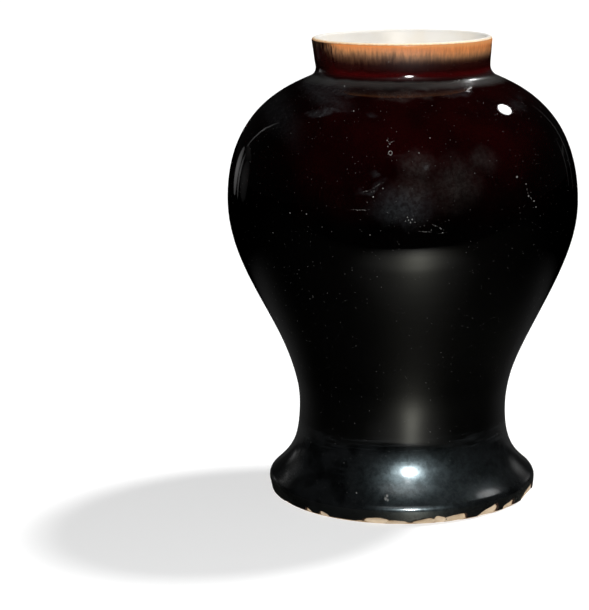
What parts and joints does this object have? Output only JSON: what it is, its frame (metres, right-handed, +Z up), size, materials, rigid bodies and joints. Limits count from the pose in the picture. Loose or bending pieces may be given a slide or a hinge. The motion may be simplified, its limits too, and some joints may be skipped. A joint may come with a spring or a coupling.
{
  "type": "baluster vase",
  "caption": "Baluster vase with a short upright neck, high round shoulder, narrow waist and splayed foot, dark copper-red glaze outside and cream glaze inside.",
  "frame": {"origin": "middle of the foot ring's lower face, on the surface the vase stands on", "axes": "+Z up along the axis of the vase, -Y towards the pictured side"},
  "size_m": [0.274, 0.274, 0.36],
  "materials": {
    "fired_clay": "matte",
    "fired_slip": "matte",
    "copper_red_glaze": "glossy",
    "cream_glaze": "glossy"
  },
  "bodies": {
    "root": {"neck_section": "fired_clay", "shoulder_section": "fired_clay", "lower_body_section": "fired_clay", "foot_section": "fired_clay", "base_slab": "fired_clay", "neck_seam_slip": "fired_slip", "belly_seam_slip": "fired_slip", "waist_seam_slip": "fired_slip", "base_seam_slip": "fired_slip", "outer_glaze": "copper_red_glaze", "inner_glaze": "cream_glaze", "base_glaze": "cream_glaze"}
  },
  "joints": []
}
